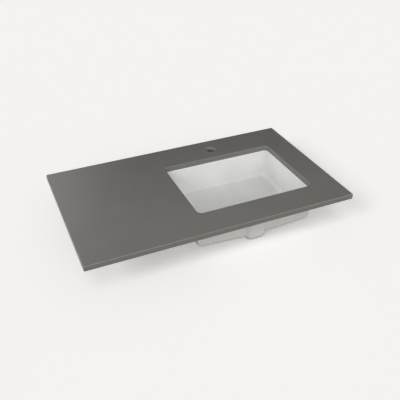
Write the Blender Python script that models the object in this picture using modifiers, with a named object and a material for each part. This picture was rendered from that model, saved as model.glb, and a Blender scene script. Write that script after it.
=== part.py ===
# Vanity sink top: a stone slab with an undermount basin towards its right end.
# The basin is bedded on sealant and held up by six screw clamps under the slab.
# Units are metres and +Z is up. X runs along the slab, and +Y points to the wall behind it.
# The origin lies on the slab's underside, midway along it, over the middle of the cabinet's back rail.

import math

import bmesh
import bpy
from mathutils import Matrix, Vector

# Slab
slab_length = 0.940
slab_depth = 0.559
slab_thickness = 0.020
slab_edge_radius = 0.003
back_rail_inset = 0.020  # from the slab's back edge to the middle of the cabinet's back rail

# Cut-out for the basin
cutout_length = 0.434
cutout_depth = 0.323
cutout_corner_radius = 0.018
cutout_end_margin = 0.0975  # from the cut-out to the slab's right end
cutout_front_margin = 0.108  # from the cut-out to the slab's front edge
cutout_edge_radius = 0.001

# Tap hole, in line with the middle of the basin
tap_hole_diameter = 0.035
tap_hole_back_share = 0.53125  # of the stone behind the cut-out, from its back edge to the hole's centre
tap_hole_edge_radius = 0.001

# Values that every piece shares
fit_gap = 0.0003
cut_overrun = 0.005
merge_distance = 0.00001

# Sealant bead between the slab and the basin's rim
bead_thickness = 0.0017
bead_inner_setback = 0.0015  # behind the cut-out's wall
bead_outer_setback = 0.004  # inside the edge of the basin's flange
bead_bulge = 0.0005

# Basin rim and flange
flange_width = 0.028
flange_thickness = 0.012
flange_edge_radius = 0.002
flange_fillet = 0.006
rim_edge_radius = 0.003

# Bowl
bowl_depth = 0.1047  # from the rim down to the edge of the floor
bowl_end_draft = 0.014  # how far the left and right walls lean in
bowl_side_draft = 0.007  # how far the front and back walls lean in
bowl_corner_radius = 0.024
floor_fillet = 0.012
floor_fillet_at_ends = 0.028
floor_fall = 0.008
floor_thickness = 0.015
wall_thickness = 0.012
outer_end_draft = 0.009
outer_corner_radius = 0.018
underside_radius = 0.014
keel_depth = 0.0115  # how far the underside drops from its ends to its middle at the front

# Drain
drain_forward = 0.018  # from the middle of the bowl towards the front
drain_hole_diameter = 0.045
drain_recess_diameter = 0.064
drain_recess_depth = 0.003
drain_collar_diameter = 0.068
drain_collar_proud = 0.0015
drain_collar_chamfer = 0.0015

# Overflow: a slot in the front wall, and a flat duct that runs down outside the wall to the drain
overflow_slot_width = 0.038
overflow_slot_height = 0.012
overflow_slot_drop = 0.031  # from the rim to the middle of the slot
duct_width = 0.044
duct_gap = 0.008
duct_liner = 0.009  # ceramic between the bowl and the duct
duct_skin = 0.008
duct_cheek = 0.018  # ceramic on either side of the duct
duct_top_drop = 0.020  # from the rim to the top of the duct
duct_roof = 0.0105  # ceramic between the lowest part of the floor and the duct
duct_height = 0.012
duct_underside_skin = 0.0110
duct_elbow_radius = 0.027
duct_edge_radius = 0.024
duct_end_width = 0.030
housing_embed = 0.004  # how deep the duct's housing is sunk in the wall and the floor

# Clamps: insert, stud, clip, washer and wing nut
clamp_spacing = 0.260  # between the two clamps on each long side
clamp_standoff = 0.012  # from the flange's edge to the stud
stud_diameter = 0.006
stud_drop = 0.033  # below the slab
stud_chamfer = 0.0006
insert_diameter = 0.0094
insert_length = 0.012
insert_groove_depth = 0.0006
insert_end_gap = 0.001
clip_width = 0.025
clip_thickness = 0.002
clip_toe_overlap = 0.008
clip_heel_reach = 0.014
clip_bend_radius = 0.004
clip_slot_length = 0.012
clip_corner_radius = 0.003
washer_diameter = 0.016
washer_thickness = 0.0012
nut_top_diameter = 0.012
nut_bottom_diameter = 0.0095
nut_height = 0.008
nut_edge = 0.0006
wing_span = 0.030
wing_drop = 0.012
wing_thickness = 0.0024
wing_root_rise = 0.0065
wing_tip_width = 0.010
wing_corner_radius = 0.0022

# Fineness of curves
corner_steps = 8
side_steps = 4
fillet_steps = 4
small_round_steps = 3
round_sides = 48
small_round_sides = 24

# Places that follow from the sizes
slab_front = back_rail_inset - slab_depth
slab_right = slab_length / 2
basin_x = slab_right - cutout_end_margin - cutout_length / 2
basin_y = slab_front + cutout_front_margin + cutout_depth / 2
drain_y = -drain_forward  # from the basin's middle
stone_behind = slab_depth - cutout_front_margin - cutout_depth
tap_hole_y = back_rail_inset - tap_hole_back_share * stone_behind
rim_z = -2 * fit_gap - bead_thickness
flange_bottom_z = rim_z - flange_thickness
floor_edge_z = rim_z - bowl_depth
floor_low_z = floor_edge_z - floor_fall
underside_z = floor_edge_z - floor_thickness
duct_roof_z = floor_low_z - duct_roof
duct_floor_z = duct_roof_z - duct_height
housing_bottom_z = duct_floor_z - duct_underside_skin
collar_bottom_z = housing_bottom_z - drain_collar_proud

quarter_turn = math.pi / 2


def clear_scene():
    for obj in list(bpy.data.objects):
        bpy.data.objects.remove(obj, do_unlink=True)


def new_collection(name):
    collection = bpy.data.collections.new(name)
    bpy.context.scene.collection.children.link(collection)
    return collection


def new_material(name, colour, roughness, metallic):
    material = bpy.data.materials.new(name)
    material.use_nodes = True
    shader = material.node_tree.nodes["Principled BSDF"]
    shader.inputs["Base Color"].default_value = (*colour, 1)
    shader.inputs["Roughness"].default_value = roughness
    shader.inputs["Metallic"].default_value = metallic
    return material


def quarter_steps(steps):
    """Angles from 0 to a quarter turn."""
    return [quarter_turn * step / steps for step in range(steps + 1)]


def new_object(name, bm, collection, material=None):
    bmesh.ops.recalc_face_normals(bm, faces=bm.faces)
    mesh = bpy.data.meshes.new(name)
    bm.to_mesh(mesh)
    bm.free()
    obj = bpy.data.objects.new(name, mesh)
    collection.objects.link(obj)
    if material:
        mesh.materials.append(material)
    return obj


def new_cutter(name, bm):
    obj = new_object(name, bm, cutters)
    obj.hide_render = True
    obj.display_type = "WIRE"
    return obj


def add_boolean(obj, other, operation):
    modifier = obj.modifiers.new(other.name, "BOOLEAN")
    modifier.operation = operation
    modifier.solver = "EXACT"
    modifier.object = other


def smooth(obj):
    obj.data.shade_smooth()
    obj.data.set_sharp_from_angle(angle=math.radians(35))


def round_over(bm, items, radius, segments, affect="EDGES"):
    bmesh.ops.bevel(bm, geom=items, offset=radius, segments=segments, profile=0.5, affect=affect)


def draw_out(bm, vector):
    """Makes a flat outline a solid, by extruding it along a vector."""
    drawn = bmesh.ops.extrude_face_region(bm, geom=bm.faces[:])["geom"]
    moved = [item for item in drawn if isinstance(item, bmesh.types.BMVert)]
    bmesh.ops.translate(bm, verts=moved, vec=vector)
    bmesh.ops.recalc_face_normals(bm, faces=bm.faces)


def rounded_ring(half_x, half_y, radius, z):
    """Points round a rounded rectangle, each straight side split into equal steps."""
    arcs = []
    for corner, (sign_x, sign_y) in enumerate(((1, 1), (-1, 1), (-1, -1), (1, -1))):
        centre = Vector((sign_x * (half_x - radius), sign_y * (half_y - radius), z))
        arc = []
        for angle in quarter_steps(corner_steps):
            turn = angle + corner * quarter_turn
            arc.append(centre + radius * Vector((math.cos(turn), math.sin(turn), 0)))
        arcs.append(arc)
    ring = []
    for arc, following in zip(arcs, arcs[1:] + arcs[:1]):
        ring += arc
        ring += [arc[-1].lerp(following[0], step / side_steps) for step in range(1, side_steps)]
    return ring


def cutout_ring(inset_x, inset_y, radius, z):
    """A ring inside the cut-out's outline by the two insets, or outside it where they are negative."""
    return rounded_ring(cutout_length / 2 - inset_x, cutout_depth / 2 - inset_y, radius, z)


def drain_ring(like, radius, z):
    """A circle round the drain, with a point in the same direction as each point of another ring."""
    turns = [math.atan2(point.y - drain_y, point.x) for point in like]
    return [Vector((radius * math.cos(turn), drain_y + radius * math.sin(turn), z)) for turn in turns]


def loft(rings, closed=False):
    """A skin over rings of equally many points, closed on itself or capped at both ends."""
    bm = bmesh.new()
    rows = [[bm.verts.new(point) for point in ring] for ring in rings]
    pairs = list(zip(rows, rows[1:]))
    if closed:
        pairs.append((rows[-1], rows[0]))
    else:
        bm.faces.new(rows[0])
        bm.faces.new(rows[-1])
    for row, following in pairs:
        for index, vert in enumerate(row):
            bm.faces.new((vert, row[index - 1], following[index - 1], following[index]))
    return bm


def cylinder(radius, low, high, sides=round_sides):
    bm = bmesh.new()
    middle = Matrix.Translation((0, 0, (low + high) / 2))
    bmesh.ops.create_cone(
        bm, cap_ends=True, segments=sides, radius1=radius, radius2=radius, depth=high - low, matrix=middle
    )
    return bm


def box(size, centre):
    bm = bmesh.new()
    bmesh.ops.create_cube(bm, size=1, matrix=Matrix.Translation(centre) @ Matrix.Diagonal((*size, 1)))
    return bm


def turned(name, profile, sides, collection, material):
    """A profile of (radius, z) that runs down its outer side, turned about Z."""
    mesh = bpy.data.meshes.new(name)
    count = len(profile)
    edges = [(index, (index + 1) % count) for index in range(count)]
    if profile[-1][0] == 0:
        edges.pop()
    mesh.from_pydata([(radius, 0, z) for radius, z in profile], edges, [])
    mesh.materials.append(material)
    obj = bpy.data.objects.new(name, mesh)
    collection.objects.link(obj)
    screw = obj.modifiers.new("turn", "SCREW")
    screw.steps = sides
    screw.render_steps = sides
    screw.use_merge_vertices = True
    screw.merge_threshold = merge_distance
    return obj


def finished_mesh(obj):
    """The evaluated mesh of an object, which is then removed."""
    graph = bpy.context.evaluated_depsgraph_get()
    mesh = bpy.data.meshes.new_from_object(obj.evaluated_get(graph))
    mesh.name = obj.name
    bpy.data.objects.remove(obj, do_unlink=True)
    mesh.shade_smooth()
    mesh.set_sharp_from_angle(angle=math.radians(35))
    return mesh


def eased_hole(outline, edge_radius):
    """Rings of a hole through the slab, rounded over at the top. outline(growth, z) gives a ring."""
    rings = [outline(0, -cut_overrun)]
    for angle in quarter_steps(small_round_steps):
        growth = edge_radius * (1 - math.cos(angle))
        rings.append(outline(growth, slab_thickness - edge_radius + edge_radius * math.sin(angle)))
    rings.append(outline(edge_radius, slab_thickness + cut_overrun))
    return rings


def clamp_places():
    """(name, x, y, turn) of each clamp, whose local +X points at the basin."""
    reach = flange_width + clamp_standoff
    away_x = cutout_length / 2 + reach
    away_y = cutout_depth / 2 + reach
    side = clamp_spacing / 2
    return (
        ("front_left", basin_x - side, basin_y - away_y, quarter_turn),
        ("front_right", basin_x + side, basin_y - away_y, quarter_turn),
        ("back_left", basin_x - side, basin_y + away_y, -quarter_turn),
        ("back_right", basin_x + side, basin_y + away_y, -quarter_turn),
        ("left_end", basin_x - away_x, basin_y, 0),
        ("right_end", basin_x + away_x, basin_y, math.pi),
    )


def make_slab():
    middle = (0, slab_front + slab_depth / 2, slab_thickness / 2)
    bm = box((slab_length, slab_depth, slab_thickness), middle)
    shown = [edge for edge in bm.edges if any(vert.co.y < middle[1] for vert in edge.verts)]
    round_over(bm, shown, slab_edge_radius, small_round_steps)
    slab = new_object("stone_slab", bm, parts, stone)

    def cutout_outline(growth, z):
        return cutout_ring(-growth, -growth, cutout_corner_radius + growth, z)

    cutout = new_cutter("basin_cutout", loft(eased_hole(cutout_outline, cutout_edge_radius)))
    cutout.location = (basin_x, basin_y, 0)
    add_boolean(slab, cutout, "DIFFERENCE")

    def tap_outline(growth, z):
        turns = [2 * math.pi * side / round_sides for side in range(round_sides)]
        radius = tap_hole_diameter / 2 + growth
        return [Vector((radius * math.cos(turn), radius * math.sin(turn), z)) for turn in turns]

    tap_hole = new_cutter("tap_hole", loft(eased_hole(tap_outline, tap_hole_edge_radius)))
    tap_hole.location = (basin_x, tap_hole_y, 0)
    add_boolean(slab, tap_hole, "DIFFERENCE")

    radius = insert_diameter / 2 + fit_gap
    depth = insert_length + insert_end_gap
    for name, x, y, _ in clamp_places():
        hole = new_cutter(name + "_hole", cylinder(radius, -cut_overrun, depth, small_round_sides))
        hole.location = (x, y, 0)
        add_boolean(slab, hole, "DIFFERENCE")
    smooth(slab)


def make_bead():
    top = -fit_gap
    bottom = top - bead_thickness
    middle = (top + bottom) / 2
    inner = -bead_inner_setback
    outer = bead_outer_setback - flange_width

    def ring(inset, z):
        return cutout_ring(inset, inset, cutout_corner_radius - inset, z)

    rings = [
        ring(inner, top),
        ring(outer, top),
        ring(outer - bead_bulge, middle),
        ring(outer, bottom),
        ring(inner, bottom),
        ring(inner + bead_bulge, middle),
    ]
    bead = new_object("sealant_bead", loft(rings, closed=True), parts, sealant)
    bead.location = (basin_x, basin_y, 0)
    smooth(bead)


def draft_share(z):
    """How far down the bowl's wall a height lies, from 0 at the rim to 1 at the floor."""
    return (rim_z - z) / bowl_depth


def lower_keel(ring):
    """Drops the underside towards its middle, most of all at the front."""
    half_x = max(point.x for point in ring)
    half_y = max(point.y for point in ring)
    for point in ring:
        across_share = 1 - abs(point.x) / half_x
        front_share = (1 - point.y / half_y) / 2
        point.z -= keel_depth * across_share * front_share
    return ring


def bowl_rings():
    """Rings from the drain recess out over the floor and up the wall to the rim."""
    rings = []
    for angle in reversed(quarter_steps(fillet_steps)):
        z = floor_edge_z + floor_fillet * (1 - math.sin(angle))
        end_inset = bowl_end_draft * draft_share(z) + floor_fillet_at_ends * (1 - math.cos(angle))
        side_inset = bowl_side_draft * draft_share(z) + floor_fillet * (1 - math.cos(angle))
        radius = bowl_corner_radius - floor_fillet * (1 - math.cos(angle))
        rings.append(cutout_ring(end_inset, side_inset, radius, z))
    recess = drain_recess_diameter / 2
    recess_bottom_z = floor_low_z - drain_recess_depth
    recess_rings = [drain_ring(rings[0], recess, z) for z in (recess_bottom_z, floor_low_z)]
    for angle in quarter_steps(small_round_steps):
        growth = rim_edge_radius * (1 - math.cos(angle))
        z = rim_z - rim_edge_radius * (1 - math.sin(angle))
        rings.append(cutout_ring(-growth, -growth, cutout_corner_radius + growth, z))
    return recess_rings + rings


def flange_rings():
    """Rings over the flange's edge and back along its underside to the outer wall."""
    rings = []
    for angle in quarter_steps(small_round_steps):
        growth = flange_width - flange_edge_radius * (1 - math.sin(angle))
        z = rim_z - flange_edge_radius * (1 - math.cos(angle))
        rings.append(cutout_ring(-growth, -growth, cutout_corner_radius + growth, z))
    for angle in reversed(quarter_steps(small_round_steps)):
        growth = flange_width - flange_edge_radius * (1 - math.sin(angle))
        z = flange_bottom_z + flange_edge_radius * (1 - math.cos(angle))
        rings.append(cutout_ring(-growth, -growth, cutout_corner_radius + growth, z))
    for angle in quarter_steps(small_round_steps):
        growth = wall_thickness + flange_fillet * (1 - math.sin(angle))
        z = flange_bottom_z - flange_fillet * (1 - math.cos(angle))
        rings.append(cutout_ring(-growth, -growth, cutout_corner_radius + growth, z))
    return rings


def underside_rings():
    """Rings down the outer wall, round its bottom edge and in to the drain's collar."""
    rings = []
    for angle in quarter_steps(fillet_steps):
        z = underside_z + underside_radius * (1 - math.sin(angle))
        share = min(draft_share(z), 1)
        turn_in = underside_radius * (1 - math.cos(angle)) - wall_thickness
        radius = outer_corner_radius - underside_radius * (1 - math.cos(angle))
        ring = cutout_ring(outer_end_draft * share + turn_in, bowl_side_draft * share + turn_in, radius, z)
        rings.append(lower_keel(ring))
    collar = drain_collar_diameter / 2
    for radius, z in (
        (collar, floor_low_z - floor_thickness),
        (collar, collar_bottom_z + drain_collar_chamfer),
        (collar - drain_collar_chamfer, collar_bottom_z),
    ):
        rings.append(drain_ring(rings[0], radius, z))
    return rings


def side_profile(points, half_width, edge_radius, rounded_count):
    """An outline of (y, z) drawn out along X. The first points' edges are rounded over."""
    bm = bmesh.new()
    corners = [bm.verts.new((-half_width, y, z)) for y, z in points]
    bm.faces.new(corners)
    shown = {(vert.co.y, vert.co.z) for vert in corners[:rounded_count]}
    draw_out(bm, (2 * half_width, 0, 0))
    edges = []
    for edge in bm.edges:
        first, second = edge.verts
        ends = {(vert.co.y, vert.co.z) for vert in edge.verts}
        if first.co.x == second.co.x and ends <= shown:
            edges.append(edge)
    if edges:
        round_over(bm, edges, edge_radius, fillet_steps)
    return bm


def taper_to_drain(bm, start_y, end_share):
    """Narrows everything behind start_y, down to a share of its width at the drain."""
    for vert in bm.verts:
        along = max(0, (vert.co.y - start_y) / (drain_y - start_y))
        vert.co.x *= 1 + (end_share - 1) * min(along, 1)


def front_wall_y(z):
    """The bowl's front wall, inside, at a height."""
    return bowl_side_draft * draft_share(z) - cutout_depth / 2


def duct_path(offset, bottom_z, top_z, radius):
    """Points down a face that lies outside the front wall, round an elbow and under the floor."""
    turn_z = bottom_z + radius
    centre_y = front_wall_y(turn_z) - offset + radius
    path = [(front_wall_y(top_z) - offset, top_z)]
    for angle in quarter_steps(fillet_steps):
        path.append((centre_y - radius * math.cos(angle), turn_z - radius * math.sin(angle)))
    return path


def housing():
    """The ceramic round the overflow duct, sunk a little in the wall and the floor."""
    offset = duct_liner + duct_gap + duct_skin
    top_z = flange_bottom_z + housing_embed
    outer = duct_path(offset, housing_bottom_z, top_z, duct_elbow_radius)
    outer.append((drain_y, housing_bottom_z))
    inner_y = front_wall_y(floor_edge_z) - housing_embed
    inner = [
        (drain_y, duct_roof_z + housing_embed / 2),
        (inner_y + 2 * housing_embed, underside_z + housing_embed),
        (inner_y, floor_edge_z + floor_fillet),
        (front_wall_y(top_z) - housing_embed, top_z),
    ]
    half = duct_width / 2 + duct_cheek
    bm = side_profile(outer + inner, half, duct_edge_radius, len(outer))
    taper_to_drain(bm, inner_y, (duct_end_width / 2 + duct_cheek) / half)
    return bm


def duct():
    """The hollow of the overflow duct, from behind the slot to the drain hole."""
    top_z = rim_z - duct_top_drop
    radius = duct_elbow_radius - duct_skin
    outer = duct_path(duct_liner + duct_gap, duct_floor_z, top_z, radius)
    end_y = drain_y - drain_hole_diameter / 4
    inner_y = front_wall_y(floor_edge_z)
    inner = [
        (end_y, duct_floor_z),
        (end_y, duct_roof_z),
        (inner_y + housing_embed, underside_z - housing_embed / 4),
        (inner_y - duct_liner, floor_edge_z),
        (front_wall_y(top_z) - duct_liner, top_z),
    ]
    bm = side_profile(outer + inner, duct_width / 2, duct_edge_radius, 0)
    taper_to_drain(bm, inner_y, duct_end_width / duct_width)
    return bm


def overflow_slot():
    """A slot with round ends, through the bowl's front wall into the duct."""
    z = rim_z - overflow_slot_drop
    length = duct_liner + duct_gap
    centre = (0, front_wall_y(z) + duct_gap / 2 - length / 2, z)
    bm = box((overflow_slot_width, length, overflow_slot_height), centre)
    along = [edge for edge in bm.edges if edge.verts[0].co.y != edge.verts[1].co.y]
    round_end = overflow_slot_height / 2 - fit_gap
    round_over(bm, along, round_end, fillet_steps)
    return bm


def make_basin():
    rings = bowl_rings() + flange_rings() + underside_rings()
    basin = new_object("basin", loft(rings), parts, china)
    drain_top = floor_low_z + cut_overrun
    drain_bottom = collar_bottom_z - cut_overrun
    drain_hole = cylinder(drain_hole_diameter / 2, drain_bottom, drain_top)
    bmesh.ops.translate(drain_hole, verts=drain_hole.verts, vec=(0, drain_y, 0))
    shapes = (
        ("overflow_housing", housing(), "UNION"),
        ("overflow_duct", duct(), "DIFFERENCE"),
        ("overflow_slot", overflow_slot(), "DIFFERENCE"),
        ("drain_hole", drain_hole, "DIFFERENCE"),
    )
    for name, shape, operation in shapes:
        other = new_cutter(name, shape)
        other.location = (basin_x, basin_y, 0)
        add_boolean(basin, other, operation)
    basin.location = (basin_x, basin_y, 0)
    smooth(basin)


def insert_mesh():
    """A brass sleeve with two grooves, glued in the slab."""
    outer = insert_diameter / 2
    groove = outer - insert_groove_depth
    bore = stud_diameter / 2 + fit_gap
    band = insert_length / 5
    profile = [(outer, insert_length)]
    for step in (1, 3):
        top = insert_length - step * band
        profile += [(outer, top), (groove, top), (groove, top - band), (outer, top - band)]
    profile += [(outer, 0), (bore, 0), (bore, insert_length)]
    return finished_mesh(turned("insert", profile, small_round_sides, parts, brass))


def stud_mesh():
    radius = stud_diameter / 2
    top = insert_length
    profile = [
        (0, top),
        (radius, top),
        (radius, stud_chamfer - stud_drop),
        (radius - stud_chamfer, -stud_drop),
        (0, -stud_drop),
    ]
    return finished_mesh(turned("stud", profile, small_round_sides, parts, steel))


def clip_plate_z():
    return flange_bottom_z - fit_gap


def clip_mesh():
    """A bent strip: its heel stands under the slab and its toe holds the flange up."""
    heel_x = clip_thickness - clip_heel_reach
    toe_x = clamp_standoff + clip_toe_overlap
    plate_z = clip_plate_z()
    path = [(heel_x, -fit_gap)]
    for angle in quarter_steps(small_round_steps):
        path.append(
            (
                heel_x + clip_bend_radius * (1 - math.cos(angle)),
                plate_z + clip_bend_radius * (1 - math.sin(angle)),
            )
        )
    path.append((toe_x, plate_z))
    bm = bmesh.new()
    half = clip_width / 2
    near = [bm.verts.new((x, -half, z)) for x, z in path]
    far = [bm.verts.new((x, half, z)) for x, z in path]
    for index in range(len(path) - 1):
        bm.faces.new((near[index], near[index + 1], far[index + 1], far[index]))
    toe_corners = [near[-1], far[-1]]
    round_over(bm, toe_corners, clip_corner_radius, small_round_steps, "VERTICES")
    clip = new_object("clip", bm, parts, steel)
    solidify = clip.modifiers.new("sheet", "SOLIDIFY")
    solidify.thickness = clip_thickness
    solidify.offset = 1
    slot = new_cutter("clip_slot", clip_slot())
    add_boolean(clip, slot, "DIFFERENCE")
    return finished_mesh(clip)


def clip_slot():
    """A slot with round ends that lets the clip slide on its stud."""
    half_width = stud_diameter / 2 + fit_gap
    half_length = clip_slot_length / 2
    low = clip_plate_z() - clip_thickness - cut_overrun
    high = clip_plate_z() + cut_overrun
    rings = [rounded_ring(half_length, half_width, half_width - fit_gap / 3, z) for z in (low, high)]
    return loft(rings)


def washer_top():
    return clip_plate_z() - clip_thickness - fit_gap


def washer_mesh():
    top = washer_top()
    bottom = top - washer_thickness
    outer = washer_diameter / 2
    bore = stud_diameter / 2 + fit_gap
    profile = [(outer, top), (outer, bottom), (bore, bottom), (bore, top)]
    return finished_mesh(turned("washer", profile, small_round_sides, parts, steel))


def wing(turn):
    """One wing of the nut: a plate that rises from the hub and widens to a rounded tip."""
    root = nut_bottom_diameter / 2 - nut_edge
    top = washer_top() - washer_thickness - fit_gap
    low = top - nut_height
    bm = bmesh.new()
    outline = [
        (root, low + wing_root_rise),
        (wing_span / 2 - wing_tip_width / 2, top - wing_drop + wing_tip_width),
        (wing_span / 2, top - wing_drop + wing_tip_width / 2),
        (wing_span / 2, top - wing_drop),
        (wing_span / 2 - wing_tip_width / 2, top - wing_drop),
        (root, low + nut_edge),
    ]
    corners = [bm.verts.new((x, -wing_thickness / 2, z)) for x, z in outline]
    bm.faces.new(corners)
    round_over(bm, corners[1:-1], wing_corner_radius, small_round_steps, "VERTICES")
    draw_out(bm, (0, wing_thickness, 0))
    bmesh.ops.rotate(bm, verts=bm.verts, matrix=Matrix.Rotation(turn, 3, "Z"))
    return bm


def nut_mesh():
    top = washer_top() - washer_thickness - fit_gap
    bottom = top - nut_height
    bore = stud_diameter / 2 + fit_gap
    profile = [
        (nut_top_diameter / 2 - nut_edge, top),
        (nut_top_diameter / 2, top - nut_edge),
        (nut_bottom_diameter / 2, bottom + nut_edge),
        (nut_bottom_diameter / 2 - nut_edge, bottom),
        (bore, bottom),
        (bore, top),
    ]
    nut = turned("wing_nut", profile, small_round_sides, parts, steel)
    for number, turn in enumerate((0, math.pi)):
        add_boolean(nut, new_cutter(f"wing_{number}", wing(turn)), "UNION")
    return finished_mesh(nut)


def make_clamps():
    meshes = {
        "insert": insert_mesh(),
        "stud": stud_mesh(),
        "clip": clip_mesh(),
        "washer": washer_mesh(),
        "wing_nut": nut_mesh(),
    }
    for name, x, y, turn in clamp_places():
        holder = bpy.data.objects.new(name + "_clamp", None)
        holder.location = (x, y, 0)
        holder.rotation_euler = (0, 0, turn)
        parts.objects.link(holder)
        for piece, mesh in meshes.items():
            obj = bpy.data.objects.new(f"{name}_{piece}", mesh)
            obj.parent = holder
            parts.objects.link(obj)


clear_scene()
parts = new_collection("vanity_sink_top")
cutters = new_collection("cutters")
stone = new_material("grey_quartz", (0.115, 0.112, 0.104), 0.45, 0)
china = new_material("white_china", (0.80, 0.80, 0.78), 0.12, 0)
sealant = new_material("sealant", (0.72, 0.72, 0.70), 0.45, 0)
brass = new_material("brass", (0.62, 0.47, 0.22), 0.35, 1)
steel = new_material("zinc_plated_steel", (0.62, 0.63, 0.64), 0.38, 1)
make_slab()
make_bead()
make_basin()
make_clamps()
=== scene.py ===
import math
import bmesh
import bpy
from mathutils import Matrix, Vector


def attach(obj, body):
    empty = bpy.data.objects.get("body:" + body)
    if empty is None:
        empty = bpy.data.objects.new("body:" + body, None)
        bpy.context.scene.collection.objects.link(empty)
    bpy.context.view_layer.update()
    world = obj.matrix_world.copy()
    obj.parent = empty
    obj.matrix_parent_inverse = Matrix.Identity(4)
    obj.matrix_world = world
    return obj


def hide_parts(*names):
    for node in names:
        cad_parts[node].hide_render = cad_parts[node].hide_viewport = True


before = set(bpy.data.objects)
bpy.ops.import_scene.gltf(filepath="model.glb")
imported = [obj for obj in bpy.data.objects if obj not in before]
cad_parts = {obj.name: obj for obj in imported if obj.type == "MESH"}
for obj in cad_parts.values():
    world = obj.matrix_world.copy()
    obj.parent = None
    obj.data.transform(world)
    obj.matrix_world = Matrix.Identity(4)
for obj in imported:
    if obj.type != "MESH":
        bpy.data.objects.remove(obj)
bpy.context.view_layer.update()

# Vanity sink top: a grey stone slab with a white china basin under its cut-out.
# Metres, +Z up. The slab's underside is at height 0 and its back edge at Y 0.020.
# Every piece stands where its own mesh says, and its object stays at the origin.

bowlMiddle = (0.1555, -0.2695)  # the middle of the cut-out and of the basin
hair = 0.000001  # less than any real gap
weld = 0.000005  # points nearer than this are one
near = 0.0001  # for what is picked by its place, and to keep round ends apart
past = 0.004  # how far a cutter runs on past what it cuts


def choose(*pieces):
    # selects these pieces alone, the last of them active
    bpy.ops.object.select_all(action="DESELECT")
    for piece in pieces:
        piece.select_set(True)
        bpy.context.view_layer.objects.active = piece


def editShape():
    bpy.ops.object.mode_set(mode="EDIT")


def selectAll(kind):
    bpy.ops.mesh.select_mode(type=kind)
    bpy.ops.mesh.select_all(action="SELECT")


def pick(kind, test):
    # selects the points, edges or faces that pass the test, and nothing else
    bpy.ops.mesh.select_mode(type="VERT")
    bpy.ops.mesh.select_all(action="DESELECT")
    bpy.ops.mesh.select_mode(type=kind)
    shape = bmesh.from_edit_mesh(bpy.context.edit_object.data)
    for item in {"VERT": shape.verts, "EDGE": shape.edges, "FACE": shape.faces}[kind]:
        if test(item):
            item.select_set(True)
    shape.select_flush_mode()
    bmesh.update_edit_mesh(bpy.context.edit_object.data)


def pushOut(kind, x, y, z):
    # extrudes the selected points, edges or faces over a distance
    extrude = {
        "VERT": bpy.ops.mesh.extrude_vertices_move,
        "EDGE": bpy.ops.mesh.extrude_edges_move,
        "FACE": bpy.ops.mesh.extrude_region_move,
    }[kind]
    extrude(TRANSFORM_OT_translate={"value": (x, y, z)})


def stretch(x, y, z, centre):
    bpy.ops.transform.resize(value=(x, y, z), center_override=centre)


def bevelPoints(offset, segments):
    bpy.ops.mesh.bevel(offset=offset, segments=segments, affect="VERTICES")


def closeShape():
    selectAll("VERT")
    bpy.ops.mesh.remove_doubles(threshold=weld)
    bpy.ops.mesh.normals_make_consistent(inside=False)
    bpy.ops.object.mode_set(mode="OBJECT")


def settlePlace(piece):
    # puts the piece's place and turn into its mesh
    choose(piece)
    bpy.ops.object.transform_apply(location=True, rotation=True, scale=True)


def shapeWith(piece, kind, **settings):
    # adds a modifier and applies it
    bpy.context.view_layer.objects.active = piece
    modifier = piece.modifiers.new(kind.lower(), kind)
    for name, value in settings.items():
        setattr(modifier, name, value)
    bpy.ops.object.modifier_apply(modifier=modifier.name)


def smoothPiece(piece, angle):
    # smooth but for the sharp edges: large flat faces keep their own normals, small round ones turn between
    choose(piece)
    bpy.ops.object.shade_smooth_by_angle(angle=math.radians(angle))
    shapeWith(piece, "WEIGHTED_NORMAL", keep_sharp=True)


def cutAway(piece, *cutters, operation="DIFFERENCE"):
    # takes each cutter away from the piece, or adds it on, and clears the cutters up
    for cutter in cutters:
        shapeWith(piece, "BOOLEAN", operation=operation, solver="EXACT", object=cutter)
        bpy.data.objects.remove(cutter, do_unlink=True)


def quarter(steps):
    return [math.pi / 2 * step / steps for step in range(steps + 1)]


def rounding(radius, steps):
    # a quarter round from its start to its end: what is left to go, and what is gone the other way
    return [(radius * (1 - math.sin(angle)), radius * (1 - math.cos(angle))) for angle in quarter(steps)]


def addPlane(name, centre, size, turn=0):
    # a flat start for a piece, left open in edit mode
    choose()
    bpy.ops.mesh.primitive_plane_add(size=1, location=centre, rotation=(turn, 0, 0))
    piece = bpy.context.object
    piece.name = name
    bpy.ops.transform.resize(value=size)
    settlePlace(piece)
    editShape()
    return piece


def addRod(radius, low, high, x=0, y=0):
    # an upright round cutter between two heights
    choose()
    middle = (x, y, (low + high) / 2)
    bpy.ops.mesh.primitive_cylinder_add(vertices=32, radius=radius, depth=high - low, location=middle)
    rod = bpy.context.object
    settlePlace(rod)
    return rod


def flareOut(centre, half, edge, along):
    # pushes the end of a cutter on along an axis and widens it, to leave a rounded edge, then on past it
    done, last = 0.0, half
    for angle in quarter(5)[1:]:
        push, more = edge * math.sin(angle), edge * (1 - math.cos(angle))
        pushOut("FACE", *[push - done if axis == along else 0 for axis in range(3)])
        reach = [size + more for size in half]
        stretch(*[1 if axis == along else reach[axis] / last[axis] for axis in range(3)], centre)
        done, last = push, reach
    pushOut("FACE", *[past if axis == along else 0 for axis in range(3)])


def drawLine(name, points):
    # a plane merged to one point, then drawn out from point to point
    choose()
    bpy.ops.mesh.primitive_plane_add(size=0.01)
    bpy.context.object.name = name
    editShape()
    selectAll("VERT")
    bpy.ops.mesh.merge(type="CENTER")
    bpy.ops.transform.translate(value=points[0])
    for last, point in zip(points, points[1:]):
        pushOut("VERT", *[there - here for here, there in zip(last, point)])
    return bpy.context.object


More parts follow.
